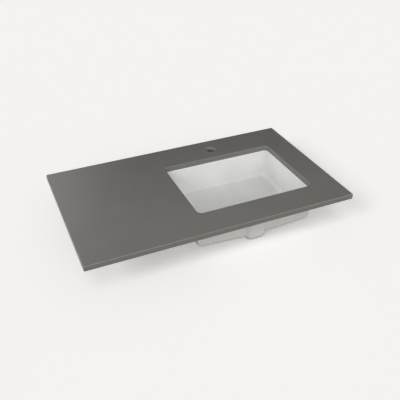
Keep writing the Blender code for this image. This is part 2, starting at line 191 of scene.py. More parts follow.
def turnProfile(name, profile, steps):
    # an outline of (radius, height) spun about the Z axis, closed unless it starts on it
    ends = profile[:1] if profile[0][0] > 0 else []
    piece = drawLine(name, [(radius, 0, z) for radius, z in profile + ends])
    selectAll("VERT")
    bpy.ops.mesh.remove_doubles(threshold=2 * weld)
    selectAll("VERT")
    bpy.ops.mesh.spin(steps=steps, angle=2 * math.pi, center=(0, 0, 0), axis=(0, 0, 1))
    closeShape()
    return piece


def finishPiece(piece, nodes, material):
    settlePlace(piece)
    piece.data.materials.clear()
    piece.data.materials.append(material)
    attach(piece, "root")
    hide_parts(*nodes)


# Materials. Patterns read the piece's own coordinates, in metres.
# Pairs such as (0.3, 0.7) are the two values between which a mask or a tone goes from one end to the other,
# a pattern is its scale, its detail and its roughness, and a bump is its strength and its distance.

noiseSpan = (0.3, 0.7)  # most of a noise lies between these


def addNode(tree, kind, inputs=None, **settings):
    # a shader node: an input takes a plain value or another node's output
    node = tree.nodes.new("ShaderNode" + kind)
    for name, value in settings.items():
        setattr(node, name, value)
    for socket, value in (inputs or {}).items():
        if isinstance(value, bpy.types.NodeSocket):
            tree.links.new(value, node.inputs[socket])
        else:
            node.inputs[socket].default_value = value
    return node


def newMaterial(name):
    material = bpy.data.materials.new(name)
    material.use_nodes = True
    tree = material.node_tree
    return material, tree, tree.nodes["Principled BSDF"]


def ownPlace(tree):
    # the piece's own coordinates and its normal
    outputs = addNode(tree, "TexCoord").outputs
    return outputs["Object"], outputs["Normal"]


def setShader(tree, shader, colour, roughness, height, bump):
    strength, distance = bump
    bump = addNode(tree, "Bump", {"Strength": strength, "Distance": distance, "Height": height})
    tree.links.new(colour, shader.inputs["Base Color"])
    tree.links.new(roughness, shader.inputs["Roughness"])
    tree.links.new(bump.outputs["Normal"], shader.inputs["Normal"])


def solid(shade):
    # a colour's four numbers, from its three or from the number of a grey
    return (*shade, 1) if isinstance(shade, tuple) else (shade, shade, shade, 1)


def noise(tree, place, scale, detail=2.0, roughness=0.5):
    inputs = {"Vector": place, "Scale": scale, "Detail": detail, "Roughness": roughness}
    return addNode(tree, "TexNoise", inputs).outputs["Fac"]


def ramp(tree, factor, stops):
    node = addNode(tree, "ValToRGB", {"Fac": factor})
    band = node.color_ramp
    while len(band.elements) < len(stops):
        band.elements.new(0.5)
    for element, (position, shade) in zip(band.elements, stops):
        element.position = position
        element.color = solid(shade)
    return node.outputs["Color"]


def blend(tree, kind, factor, first, second):
    # mixes two colours, each a plain one or another node's
    first, second = (
        shade if isinstance(shade, bpy.types.NodeSocket) else solid(shade) for shade in (first, second)
    )
    inputs = {"Factor": factor, "A": first, "B": second}
    return addNode(tree, "Mix", inputs, data_type="RGBA", blend_type=kind).outputs["Result"]


def toned(tree, colour, tone, mask=1.0):
    # multiplies a colour by a tone where the mask lets it
    return blend(tree, "MULTIPLY", mask, colour, tone)


def mixValues(tree, factor, first, second):
    return addNode(tree, "Mix", {"Factor": factor, "A": first, "B": second}).outputs["Result"]


def between(tree, value, low, high, start=0.0, end=1.0):
    # goes from start to end as the value goes from low to high
    inputs = {"Value": value, "From Min": low, "From Max": high, "To Min": start, "To Max": end}
    return addNode(tree, "MapRange", inputs).outputs["Result"]


def combine(tree, operation, result, *values):
    # sum, product, largest and so on of two or more values
    for value in values:
        result = addNode(tree, "Math", {0: result, 1: value}, operation=operation).outputs["Value"]
    return result


def split(tree, vector):
    return addNode(tree, "SeparateXYZ", {"Vector": vector}).outputs


def distances(tree, place, centre=(0, 0)):
    # how far along X, Y and Z from a place, never negative
    centred = addNode(tree, "Mapping", {"Vector": place, "Location": (-centre[0], -centre[1], 0)})
    reach = addNode(tree, "VectorMath", {0: centred.outputs["Vector"]}, operation="ABSOLUTE")
    return split(tree, reach.outputs["Vector"])


stoneLook = {
    "grains": (  # dark grains, the warm grey between them, and pale grains
        (0.30, (0.107, 0.103, 0.095)),
        (0.46, (0.134, 0.130, 0.119)),
        (0.56, (0.134, 0.130, 0.119)),
        (0.74, (0.183, 0.180, 0.167)),
    ),
    "grainPattern": (900.0, 3.0, 0.6),  # grains of about a millimetre
    "chipScale": 405.0,
    "chipTone": ((0.0, 0.90), (0.5, 1.0), (1.0, 1.11)),
    "cloudPattern": (9.0, 4.0, 0.55),
    "cloudTone": ((0.3, 0.965), (0.7, 1.035)),
    "topFacing": (0.93, 0.99),
    # painted light and shade on the slab's top, along Y
    "topShadeFrom": (-0.45, 0.0),  # Y
    "topLightAndShade": (1.07, 0.90),
    "cutoutReach": (0.2200, 0.2195),  # along X, half the cut-out with its rounded edge
    "cutoutFront": (-0.535, -0.530),
    "cutoutBack": (-0.080, -0.085),
    "wallFacing": (0.6, 0.3),
    "groundTone": 1.22,
    "holeFront": (-0.0675, -0.0665),
    "holeBack": (-0.0285, -0.0295),
    "holeReach": (0.0195, 0.0185),
    "holeDepth": (0.0, 0.02),  # from the slab's underside to its top
    # painted shade low in the tap hole's wall and painted light near its top
    "holeLightAndShade": ((0.2, 0.75), (0.7, 1.58)),
    "uprightRound": (0.15, 0.35),
    "uprightFacing": (0.3, 0.1),
    "roundFacing": ((0.12, 0.40), (0.98, 0.85)),
    # painted highlight on the rounded edges
    "arrisHighlight": 1.5,
    "arrisRoughness": 0.48,
    "underFacing": (-0.6, -0.9),
    "behindFacing": (0.9, 0.98),
    "behindFrom": (0.0195, 0.0199),
    "sawnFace": (0.215, 0.212, 0.203),
    "sawStretch": (6, 160, 160),
    "sawPattern": (2.0, 3.0),
    "sawTone": ((0.3, 0.93), (0.7, 1.06)),
    "sawnRoughness": 0.78,
    "roughness": (0.22, 0.33),
    "grainHeight": 0.12,
    "bump": (0.35, 0.0003),
}


def stoneMaterial():
    look = stoneLook
    material, tree, shader = newMaterial("greyQuartz")
    place, normal = ownPlace(tree)
    at, facing = split(tree, place), split(tree, normal)
    fine = noise(tree, place, *look["grainPattern"])
    chips = addNode(tree, "TexVoronoi", {"Vector": place, "Scale": look["chipScale"]})
    flecks = ramp(tree, chips.outputs["Color"], look["chipTone"])
    colour = toned(tree, ramp(tree, fine, look["grains"]), flecks)
    colour = toned(tree, colour, ramp(tree, noise(tree, place, *look["cloudPattern"]), look["cloudTone"]))
    # painted light and shade on the top: lighter along its front, darker along its back
    topShade = between(tree, at["Y"], *look["topShadeFrom"], *look["topLightAndShade"])
    colour = toned(tree, colour, topShade, between(tree, facing["Z"], *look["topFacing"]))
    # the walls of the cut-out are ground, not polished
    reach = distances(tree, place, bowlMiddle)
    upright = between(tree, facing["Z"], *look["wallFacing"])
    ground = combine(
        tree,
        "MULTIPLY",
        upright,
        between(tree, reach["X"], *look["cutoutReach"]),
        between(tree, at["Y"], *look["cutoutFront"]),
        between(tree, at["Y"], *look["cutoutBack"]),
    )
    colour = toned(tree, colour, look["groundTone"], ground)
    # painted shade low in the tap hole's wall and painted light near its top
    drilled = combine(
        tree,
        "MULTIPLY",
        upright,
        between(tree, reach["X"], *look["holeReach"]),
        between(tree, at["Y"], *look["holeFront"]),
        between(tree, at["Y"], *look["holeBack"]),
    )
    depth = between(tree, at["Z"], *look["holeDepth"])
    colour = toned(tree, colour, ramp(tree, depth, look["holeLightAndShade"]), drilled)
    # painted highlight on the rounded edges, the upright ones at the front corners too
    turned = distances(tree, normal)
    tilted = [between(tree, facing["Z"], *limits) for limits in look["roundFacing"]]
    lying = combine(tree, "MULTIPLY", *tilted)
    standing = combine(
        tree,
        "MULTIPLY",
        between(tree, combine(tree, "MULTIPLY", turned["X"], turned["Y"]), *look["uprightRound"]),
        between(tree, turned["Z"], *look["uprightFacing"]),
        between(tree, reach["X"], *reversed(look["cutoutReach"])),
    )
    isRound = combine(tree, "MAXIMUM", lying, standing)
    colour = toned(tree, colour, look["arrisHighlight"], isRound)
    # the saw leaves the underside and the back edge paler and dull, with faint strokes along them
    behind = combine(
        tree,
        "MULTIPLY",
        between(tree, facing["Y"], *look["behindFacing"]),
        between(tree, at["Y"], *look["behindFrom"]),
    )
    sawn = combine(tree, "MAXIMUM", between(tree, facing["Z"], *look["underFacing"]), behind)
    strokes = addNode(tree, "Mapping", {"Vector": place, "Scale": look["sawStretch"]}).outputs["Vector"]
    stroke = noise(tree, strokes, *look["sawPattern"])
    sawnColour = toned(tree, toned(tree, ramp(tree, stroke, look["sawTone"]), look["sawnFace"]), flecks)
    colour = blend(tree, "MIX", sawn, colour, sawnColour)
    sheen = between(tree, fine, *noiseSpan, *look["roughness"])
    rough = mixValues(tree, sawn, sheen, look["sawnRoughness"])
    rough = mixValues(tree, isRound, rough, look["arrisRoughness"])
    height = mixValues(tree, sawn, between(tree, fine, 0.0, 1.0, 0.0, look["grainHeight"]), stroke)
    setShader(tree, shader, colour, rough, height, look["bump"])
    return material


chinaLook = {
    "glazeTone": ((0.35, (0.645, 0.645, 0.633)), (0.62, (0.678, 0.674, 0.660))),  # greyer where it lies thick
    "glazePattern": (14.0, 2.0, 0.45),
    "speckPattern": (420.0, 2.0, 0.5),
    "speckTone": ((0.25, 0.985), (0.60, 1.0)),
    "outsideFrom": {"X": (0.2185, 0.2200), "Y": (0.1630, 0.1645), "Z": (0.1185, 0.1200)},  # from bowlMiddle
    "deepest": -0.11,
    # painted light on the bowl's walls and painted shade round its floor
    "depthLightAndShade": ((0.0, 1.09), (0.86, 1.09), (0.96, 0.935), (1.0, 0.950)),
    "rightHalf": (0.1055, 0.2055),  # X
    "cornerRound": (0.05, 0.40),
    # painted shade in the bowl's corners on the right
    "cornerShade": 0.90,
    "endFrom": (0.155, 0.185),  # along X from bowlMiddle
    "endDepth": (0.35, 0.75),
    # painted shade low at the bowl's right end
    "endShade": 0.95,
    # painted light on a slant at the bowl's left end
    "slant": (1, 0, 1.1),
    "slantFrom": (0.0, -0.08),
    "slantLight": 1.15,
    # painted shade on the bowl's floor before the front wall
    "frontFrom": (-0.20, -0.27),  # Y
    "frontDepth": (0.85, 0.95),
    "frontShade": 0.86,
    # painted shade on the basin's outside
    "outsideShade": (0.910, 0.899, 0.890),
    # painted shade on the faces that look down
    "downFacing": (-0.05, -0.45),
    "downShade": (0.76, 0.75, 0.73),
    "roughness": (0.31, 0.38),  # inside and outside
    "unevenness": (-0.02, 0.03),
    "speckHeight": 0.04,
    "bump": (0.25, 0.0012),
    "coatWeight": 0.08,
    "coatRoughness": 0.15,
}


def chinaMaterial():
    look = chinaLook
    material, tree, shader = newMaterial("whiteChina")
    place, normal = ownPlace(tree)
    at = split(tree, place)
    slow = noise(tree, place, *look["glazePattern"])
    fine = noise(tree, place, *look["speckPattern"])
    colour = toned(tree, ramp(tree, slow, look["glazeTone"]), ramp(tree, fine, look["speckTone"]))
    # inside, painted light and shade: the walls lighter, the floor's round darker, and painted shade in the
    # corner and at the end on the right
    reach = distances(tree, place, bowlMiddle)
    turned = distances(tree, normal)
    deep = between(tree, at["Z"], 0.0, look["deepest"])
    rightwards = between(tree, at["X"], *look["rightHalf"])
    inside = toned(tree, colour, ramp(tree, deep, look["depthLightAndShade"]))
    corner = between(tree, combine(tree, "MULTIPLY", turned["X"], turned["Y"]), *look["cornerRound"])
    inside = toned(tree, inside, look["cornerShade"], combine(tree, "MULTIPLY", corner, rightwards))
    ends = combine(
        tree,
        "MULTIPLY",
        between(tree, reach["X"], *look["endFrom"]),
        between(tree, deep, *look["endDepth"]),
        rightwards,
    )
    inside = toned(tree, inside, look["endShade"], ends)
    # painted light on a slant at the left end, and painted shade on the floor before the front wall
    slant = addNode(tree, "VectorMath", {0: place, 1: look["slant"]}, operation="DOT_PRODUCT")
    slantLit = between(tree, slant.outputs["Value"], *look["slantFrom"])
    inside = toned(tree, inside, look["slantLight"], slantLit)
    frontShaded = combine(
        tree, "MULTIPLY", between(tree, at["Y"], *look["frontFrom"]), between(tree, deep, *look["frontDepth"])
    )
    inside = toned(tree, inside, look["frontShade"], frontShaded)
    # outside, painted shade makes it greyer, and it is less glossy
    beyond = [between(tree, reach[axis], *limits) for axis, limits in look["outsideFrom"].items()]
    outside = combine(tree, "MAXIMUM", *beyond)
    # faces that look down are painted darker, as shade
    downShade = between(tree, split(tree, normal)["Z"], *look["downFacing"])
    shadedOutside = toned(tree, toned(tree, colour, look["outsideShade"]), look["downShade"], downShade)
    colour = blend(tree, "MIX", outside, inside, shadedOutside)
    gloss = between(tree, outside, 0.0, 1.0, *look["roughness"])
    rough = combine(tree, "ADD", gloss, between(tree, slow, *noiseSpan, *look["unevenness"]))
    height = combine(tree, "ADD", combine(tree, "MULTIPLY", fine, look["speckHeight"]), slow)
    setShader(tree, shader, colour, rough, height, look["bump"])
    shader.inputs["Coat Weight"].default_value = look["coatWeight"]
    shader.inputs["Coat Roughness"].default_value = look["coatRoughness"]
    return material


sealantLook = {
    "tone": ((0.35, (0.66, 0.66, 0.63)), (0.65, (0.74, 0.74, 0.72))),  # dusty to clean
    "smearPattern": (60.0, 3.0, 0.6),
    "lumpPattern": (220.0, 2.0),
    "roughness": (0.52, 0.34),
    "bump": (0.3, 0.0004),
}


def sealantMaterial():
    look = sealantLook
    material, tree, shader = newMaterial("whiteSilicone")
    place, _ = ownPlace(tree)
    smears = noise(tree, place, *look["smearPattern"])
    rough = between(tree, smears, *noiseSpan, *look["roughness"])
    lumps = noise(tree, place, *look["lumpPattern"])
    setShader(tree, shader, ramp(tree, smears, look["tone"]), rough, lumps, look["bump"])
    return material


metalLook = {
    "zinc": {"dull": (0.43, 0.44, 0.45), "bright": (0.60, 0.61, 0.62), "roughness": (0.50, 0.28)},
    "brass": {"dull": (0.42, 0.30, 0.14), "bright": (0.62, 0.47, 0.23), "roughness": (0.46, 0.24)},
    "patchPattern": (130.0, 4.0, 0.6),
    "patchSpan": (0.32, 0.62),
    "grainPattern": (2200.0, 2.0, 0.5),
    "grainTone": ((0.2, 0.92), (0.6, 1.0)),
    "scratchTurn": (0.3, 0.2, 0.7),
    "scratchStretch": (1, 14, 14),
    "scratchPattern": (130.0, 3.0),
    "scratchShare": 0.5,
    "bump": (0.12, 0.0001),
}


def metalMaterial(name, metal):
    # plated or turned metal: cloudy patches, fine scratches and a grain in the gloss
    look = metalLook
    material, tree, shader = newMaterial(name)
    place, _ = ownPlace(tree)
    shader.inputs["Metallic"].default_value = 1.0
    patches = noise(tree, place, *look["patchPattern"])
    grain = noise(tree, place, *look["grainPattern"])
    tone = ramp(tree, patches, list(zip(look["patchSpan"], (metal["dull"], metal["bright"]))))
    colour = toned(tree, tone, ramp(tree, grain, look["grainTone"]))
    rough = between(tree, patches, *noiseSpan, *metal["roughness"])
    inputs = {"Vector": place, "Rotation": look["scratchTurn"], "Scale": look["scratchStretch"]}
    scratches = addNode(tree, "Mapping", inputs).outputs["Vector"]
    scratch = noise(tree, scratches, *look["scratchPattern"])
    height = blend(tree, "MIX", look["scratchShare"], grain, scratch)
    setShader(tree, shader, colour, rough, height, look["bump"])
    return material


greyQuartz = stoneMaterial()
whiteChina = chinaMaterial()
whiteSilicone = sealantMaterial()
zincSteel = metalMaterial("zincSteel", metalLook["zinc"])
paleBrass = metalMaterial("paleBrass", metalLook["brass"])
print("materials made")

# Where the six clamps stand: the start of their CAD nodes' names, X, Y and the turn of each in degrees
clampPlaces = {
    "frontLeft": ("front_left", 0.0255, -0.471, 90),
    "frontRight": ("front_right", 0.2855, -0.471, 90),
    "backLeft": ("back_left", 0.0255, -0.068, -90),
    "backRight": ("back_right", 0.2855, -0.068, -90),
    "leftEnd": ("left_end", -0.1015, -0.2695, 0),
    "rightEnd": ("right_end", 0.4125, -0.2695, 180),
}

# Slab

slab = {
    "length": 0.940,
    "depth": 0.559,
    "thickness": 0.020,
    "backY": 0.020,
    "edgeRadius": 0.003,
    "cutoutLength": 0.434,
    "cutoutDepth": 0.323,
    "cutoutCorner": 0.018,
    "holeEdge": 0.0016,
    "tapHole": (0.1555, -0.048),
    "tapRadius": 0.0175,
    "socketRadius": 0.0050,
    "socketDepth": 0.013,
    "socketStart": -0.005,
    "below": 0.006,  # where the other cutters start
}


def makeSlab():
    s = slab
    middleY = s["backY"] - s["depth"] / 2
    choose()
    bpy.ops.mesh.primitive_cube_add(size=1, location=(0, middleY, s["thickness"] / 2))
    piece = bpy.context.object
    piece.name = "stoneTop"
    bpy.ops.transform.resize(value=(s["length"], s["depth"], s["thickness"]))
    settlePlace(piece)
    editShape()
    pick("EDGE", lambda edge: any(vert.co.y < middleY for vert in edge.verts))
    bpy.ops.mesh.bevel(offset=s["edgeRadius"], segments=8, profile=0.5)
    closeShape()

    rise = s["thickness"] - s["holeEdge"] + s["below"]
    opening = addPlane("opening", (*bowlMiddle, -s["below"]), (s["cutoutLength"], s["cutoutDepth"], 1))
    selectAll("VERT")
    bevelPoints(s["cutoutCorner"], 16)
    selectAll("FACE")
    pushOut("FACE", 0, 0, rise)
    flareOut((*bowlMiddle, 0), (s["cutoutLength"] / 2, s["cutoutDepth"] / 2, 1), s["holeEdge"], 2)
    closeShape()

    choose()
    foot = (*s["tapHole"], -s["below"])
    bpy.ops.mesh.primitive_circle_add(vertices=96, radius=s["tapRadius"], fill_type="NGON", location=foot)
    hole = bpy.context.object
    settlePlace(hole)
    editShape()
    selectAll("FACE")
    pushOut("FACE", 0, 0, rise)
    flareOut((*s["tapHole"], 0), (s["tapRadius"], s["tapRadius"], 1), s["holeEdge"], 2)
    closeShape()

    drill = (s["socketRadius"], s["socketStart"], s["socketDepth"])
    sockets = [addRod(*drill, x, y) for _, x, y, _ in clampPlaces.values()]
    cutAway(piece, opening, hole, *sockets)
    smoothPiece(piece, 32)
    finishPiece(piece, ["stone_slab"], greyQuartz)


makeSlab()
print("slab made")

# Basin

basin = {
    "halfLength": 0.217,  # to the cut-out's wall, with which the bowl's rim is flush
    "halfDepth": 0.1615,
    "rimCorner": 0.018,
    "rimZ": -0.0023,
    "rimRadius": 0.003,
    "flangeWidth": 0.028,
    "flangeThickness": 0.012,
    "flangeRadius": 0.002,
    "flangeFlat": 0.0055,  # in from its edge, where the flat of its underside starts
    "wallThickness": 0.012,
    "wallFillet": 0.006,
    "bowlDepth": 0.1047,  # from the rim to the edge of the floor
    "endDraft": 0.014,
    "sideDraft": 0.007,
    "bowlCorner": 0.024,
    "floorFillet": 0.012,
    "endFillet": 0.028,
    "floorFall": 0.008,
    "floorThickness": 0.015,
    "floorShares": (0.90, 0.78, 0.66, 0.54, 0.43, 0.33),  # of its size, towards the drain
    "undersideShares": (0.92, 0.83, 0.74, 0.65, 0.56, 0.47, 0.38, 0.30),
    "lowestShare": 0.21,
    "outerEndDraft": 0.009,
    "outerCorner": 0.018,
    "undersideRadius": 0.014,
    "keelDepth": 0.0115,
    "keelRim": (0.003, 0.005),  # past halfLength and halfDepth
    "drainForward": 0.018,
    "drainRadius": 0.0225,
    "drainThroat": 0.012,  # below the floor's lowest part
    "recessRadius": 0.032,
    "recessDepth": 0.003,
    "recessRise": 0.9,  # of the round at its foot, as a share of the round's width
    "softEdge": 0.0012,  # glaze rounds every edge
    "collarRadius": 0.034,
    "collarFoot": ((0.004, 0.0002), (0.001, -0.0006), (0.0, -0.002)),  # out from it, up from the floor
    "collarZ": -0.150,
    "collarChamfer": 0.0015,
    "boreTop": -0.126,  # above the duct's body
    "boreGap": 0.00004,  # so that the bore doesn't graze the drain's wall
    "heartZ": -0.06,  # inside the bowl
    "cornerPoints": 12,
    "sidePoints": 17,
}

# The overflow's duct outside the front wall: its spine runs down behind the wall, then under the floor.
duct = {
    "wallToSpine": 0.002,
    "spineZ": -0.1215,
    "bodyTop": -0.010,  # in the flange
    "bodyEnd": 0.005,  # in front of the drain's middle
    "skinRadius": 0.027,  # from the spine to the outside of the duct
    "edgeRadius": 0.024,
    "halfWidth": 0.040,
    "drainHalfWidth": 0.033,
    "footDistance": 0.0097,  # from the spine to the wall that the duct grows out of
    "footDepth": 0.004,  # into that wall
    "flareRadius": 0.007,
    "hollowHalfWidth": 0.022,
    "hollowDrainHalfWidth": 0.015,
    "hollowTop": -0.0223,
    "hollowNear": 0.009,  # behind the bowl's front wall
    "hollowFar": 0.017,
    "hollowFloor": -0.1375,
    "hollowRoof": -0.1255,
    "hollowElbow": 0.019,
    "hollowEnd": -0.02925,
    "slotZ": -0.0333,
    "slotHalfWidth": 0.019,
    "slotHalfHeight": 0.006,
    "slotStart": 0.012,  # behind the bowl's front wall, in the hollow
}

middleX, middleY = bowlMiddle
drain = (middleX, middleY - basin["drainForward"])
floorZ = basin["rimZ"] - basin["bowlDepth"]  # the floor's edge
undersideZ = floorZ - basin["floorThickness"]
lowestZ = undersideZ - basin["floorFall"]
flangeZ = basin["rimZ"] - basin["flangeThickness"]


def draftShare(z):
    return (basin["rimZ"] - z) / basin["bowlDepth"]


def frontWall(z):
    # Y of the bowl's front wall, inside
    return middleY + basin["sideDraft"] * draftShare(z) - basin["halfDepth"]


def loopPoints():
    shape = bmesh.from_edit_mesh(bpy.context.edit_object.data)
    return shape, [vert for vert in shape.verts if vert.select]


def roundedLoop(name, x, y, corner, z, cornerPoints, sidePoints):
    # a plane with its corners rounded and its sides divided, left open in edit mode
    addPlane(name, (*bowlMiddle, z), (2 * x, 2 * y, 1))
    selectAll("VERT")
    bevelPoints(corner, cornerPoints)
    pick("EDGE", lambda edge: edge.calc_length() > min(x, y) / 2)
    bpy.ops.mesh.subdivide(number_cuts=sidePoints)
    selectAll("FACE")
    bpy.ops.mesh.delete(type="ONLY_FACE")
    selectAll("EDGE")
    return {"x": x, "y": y, "corner": corner, "z": z}


def drawRing(ring, x, y, corner, z):
    # extrudes the loop to a new height, half sizes and corner radius
    pushOut("EDGE", 0, 0, z - ring["z"])
    bpy.ops.mesh.select_mode(type="VERT")
    middle = Vector((*bowlMiddle, z))
    flatX, flatY = x - corner, y - corner  # the straight runs, from the middle
    wider, deeper = flatX / (ring["x"] - ring["corner"]), flatY / (ring["y"] - ring["corner"])
    stretch(wider, deeper, 1, middle)
    shape, loop = loopPoints()
    runs = []
    for vert in loop:
        gap = vert.co - middle
        runs.append((vert, gap, abs(gap.x) < flatX - hair, abs(gap.y) < flatY - hair))
    # the points of the straight runs go out to the new sides
    for vert, _, alongX, alongY in runs:
        vert.select_set(alongX)
    stretch(1, y / (ring["y"] * deeper), 1, middle)
    for vert, _, alongX, alongY in runs:
        vert.select_set(alongY)
    stretch(x / (ring["x"] * wider), 1, 1, middle)
    for sideX in (-1, 1):
        for sideY in (-1, 1):
            for vert, gap, alongX, alongY in runs:
                vert.select_set(not alongX and not alongY and gap.x * sideX > 0 and gap.y * sideY > 0)
            pivot = middle + Vector((sideX * flatX, sideY * flatY, 0))
            stretch(corner / (ring["corner"] * wider), corner / (ring["corner"] * deeper), 1, pivot)
    for vert in loop:
        vert.select_set(True)
    shape.select_flush_mode()
    ring.update(x=x, y=y, z=z, corner=corner)


def drawIn(ring, shares, topZ, bottomZ):
    # extrudes the loop again and again, shrinking it towards the drain and letting it down
    last = 1.0
    for share in shares:
        z = topZ + (bottomZ - topZ) * (1 - share) / (1 - basin["lowestShare"])
        pushOut("EDGE", 0, 0, z - ring["z"])
        stretch(share / last, share / last, 1, (*drain, z))
        ring["z"], last = z, share


def drawCircle(ring, radius, z):
    # extrudes the loop and makes it a circle about the drain
    pushOut("EDGE", 0, 0, z - ring["z"])
    bpy.ops.mesh.select_mode(type="VERT")
    bpy.ops.transform.tosphere(value=1)
    _, loop = loopPoints()
    low = Vector((min(vert.co.x for vert in loop), min(vert.co.y for vert in loop), z))
    high = Vector((max(vert.co.x for vert in loop), max(vert.co.y for vert in loop), z))
    middle = (low + high) / 2
    grown = 2 * radius / (high.x - low.x)
    stretch(grown, grown, 1, middle)
    bpy.ops.transform.translate(value=(drain[0] - middle.x, drain[1] - middle.y, 0))
    ring["z"] = z


def drawBowl(ring):
    # from the rim down the wall, over the floor and through the drain
    b = basin
    for down, out in reversed(rounding(b["rimRadius"], 6)[:-1]):
        drawRing(ring, b["halfLength"] + out, b["halfDepth"] + out, b["rimCorner"] + out, b["rimZ"] - down)
    topZ, lowWallZ, steps = ring["z"], floorZ + b["floorFillet"], 7
    for step in range(1, steps):
        share = step / steps
        lean = draftShare(lowWallZ) * share
        x, y = b["halfLength"] - b["endDraft"] * lean, b["halfDepth"] - b["sideDraft"] * lean
        corner = b["rimCorner"] + (b["bowlCorner"] - b["rimCorner"]) * share
        drawRing(ring, x, y, corner, topZ + (lowWallZ - topZ) * share)
    for up, turn in rounding(1, 9):
        z = floorZ + b["floorFillet"] * up
        x = b["halfLength"] - b["endDraft"] * draftShare(z) - b["endFillet"] * turn
        y = b["halfDepth"] - b["sideDraft"] * draftShare(z) - b["floorFillet"] * turn
        drawRing(ring, x, y, b["bowlCorner"] - b["floorFillet"] * turn, z)
    lowZ = floorZ - b["floorFall"]
    drawIn(ring, b["floorShares"], floorZ, lowZ)
    edge, recess, recessZ = b["softEdge"], b["recessRadius"], lowZ - b["recessDepth"]
    for out, down in rounding(edge, 4):
        drawCircle(ring, recess + out, lowZ - down)
    for out, up in reversed(rounding(edge, 3)):
        drawCircle(ring, recess - out, recessZ + up * b["recessRise"])
    for out, down in rounding(edge, 4):
        drawCircle(ring, b["drainRadius"] + out, recessZ - down)
    drawCircle(ring, b["drainRadius"], lowZ - b["drainThroat"])
    drawCircle(ring, b["drainRadius"], b["collarZ"] + edge)
    drawCircle(ring, b["drainRadius"] + edge, b["collarZ"])


def drawOutside(ring):
    # from the rim over the flange, down the outer wall and under the floor to the drain's collar
    b = basin

    def grown(growth, z, growthY=None, corner=None):
        growthY = growth if growthY is None else growthY
        corner = b["rimCorner"] + growth if corner is None else corner
        drawRing(ring, b["halfLength"] + growth, b["halfDepth"] + growthY, corner, z)

    for out, down in rounding(b["flangeRadius"], 4):
        grown(b["flangeWidth"] - out, b["rimZ"] - down)
    for out, up in reversed(rounding(b["flangeRadius"], 4)):
        grown(b["flangeWidth"] - out, flangeZ + up)
    grown(b["flangeWidth"] - b["flangeFlat"], flangeZ)
    for out, down in rounding(b["wallFillet"], 5):
        grown(b["wallThickness"] + out, flangeZ - down)
    topZ, lowWallZ, topCorner, steps = ring["z"], undersideZ + b["undersideRadius"], ring["corner"], 9
    for step in range(1, steps):
        share = step / steps
        grown(
            b["wallThickness"] - b["outerEndDraft"] * share,
            topZ + (lowWallZ - topZ) * share,
            b["wallThickness"] - b["sideDraft"] * share,
            topCorner + (b["outerCorner"] - topCorner) * share,
        )
    endGrowth, sideGrowth = b["wallThickness"] - b["outerEndDraft"], b["wallThickness"] - b["sideDraft"]
    for up, turn in rounding(b["undersideRadius"], 8):
        grown(endGrowth - turn, undersideZ + up, sideGrowth - turn, b["outerCorner"] - turn)
    drawIn(ring, b["undersideShares"], undersideZ, lowestZ)
    collar, chamfer = b["collarRadius"], b["collarChamfer"]
    for out, up in b["collarFoot"]:
        drawCircle(ring, collar + out, lowestZ + up)
    for inwards, up in ((0.0, 1.0), (0.3, 0.4), (1.0, 0.0)):
        drawCircle(ring, collar - chamfer * inwards, b["collarZ"] + chamfer * up)


def dropKeel():
    # the underside hangs lower towards its middle, most of all at the front
    b = basin
    shape, points = loopPoints()
    wallTopZ = flangeZ - b["wallFillet"]
    lowWallZ = undersideZ + b["undersideRadius"]
    for vert in points:
        place = vert.co - Vector((*bowlMiddle, 0))
        if not lowestZ + 2 * weld < place.z < wallTopZ - 2 * weld:
            continue
        share = min((wallTopZ - place.z) / (wallTopZ - lowWallZ), 1)
        halfX, halfY = b["halfLength"] + b["keelRim"][0], b["halfDepth"] + b["keelRim"][1]
        x, y = place.x, place.y
        if place.z < undersideZ - 2 * weld:
            fall = (undersideZ - place.z) / b["floorFall"]
            share = 1 - fall
            shrunk = 1 - fall * (1 - b["lowestShare"])
            x, y = x / shrunk, (y + b["drainForward"]) / shrunk - b["drainForward"]
            halfX, halfY = halfX - b["undersideRadius"], halfY - b["undersideRadius"]
        elif place.z < lowWallZ:
            turn = math.asin(min(max(1 - (place.z - undersideZ) / b["undersideRadius"], 0), 1))
            inset = b["undersideRadius"] * (1 - math.cos(turn))
            halfX, halfY = halfX - inset, halfY - inset
        across = max(1 - abs(x) / halfX, 0)
        front = min(max((1 - y / halfY) / 2, 0), 1)
        vert.co.z -= b["keelDepth"] * across * front * share
    bmesh.update_edit_mesh(bpy.context.edit_object.data)


def makeDuct():
    # the duct's body: a rounded section on flared feet, down the wall, round the elbow and on to the drain
    d = duct
    flat, low = d["halfWidth"] - d["edgeRadius"], d["skinRadius"] - d["edgeRadius"]
    foot, flare = d["footDistance"], d["flareRadius"]
    reach, rise = d["edgeRadius"] + flare, foot + flare - low
    footX = flat + math.sqrt(reach**2 - rise**2)
    meet = math.asin(rise / reach)
    half = [(footX, foot - d["footDepth"]), (footX, foot)]
    for step in range(1, 7):
        angle = -math.pi / 2 - (math.pi / 2 - meet) * step / 6
        half.append((footX + flare * math.cos(angle), foot + flare + flare * math.sin(angle)))
    for step in range(1, 13):
        angle = meet + (math.pi / 2 - meet) * step / 12
        half.append((flat + d["edgeRadius"] * math.cos(angle), low + d["edgeRadius"] * math.sin(angle)))
    outline = half + [(-x, out) for x, out in reversed(half)]
    topY, spineY = (frontWall(z) + d["wallToSpine"] for z in (d["bodyTop"], d["spineZ"]))
    piece = drawLine("ductBody", [(middleX + x, topY - out, d["bodyTop"]) for x, out in outline])
    selectAll("VERT")
    bpy.ops.mesh.edge_face_add()
    selectAll("FACE")
    steps = 4
    for _ in range(steps):
        pushOut("FACE", 0, (spineY - topY) / steps, (d["spineZ"] - d["bodyTop"]) / steps)
    axle = (middleX, spineY, d["spineZ"])
    bpy.ops.mesh.spin(steps=16, angle=-math.pi / 2, center=axle, axis=(1, 0, 0))
    last = 1.0
    for step in range(1, steps + 1):
        pushOut("FACE", 0, (drain[1] - d["bodyEnd"] - spineY) / steps, 0)
        share = 1 + (d["drainHalfWidth"] / d["halfWidth"] - 1) * step / steps
        stretch(share / last, 1, 1, (middleX, 0, 0))
        last = share
    closeShape()
    return piece


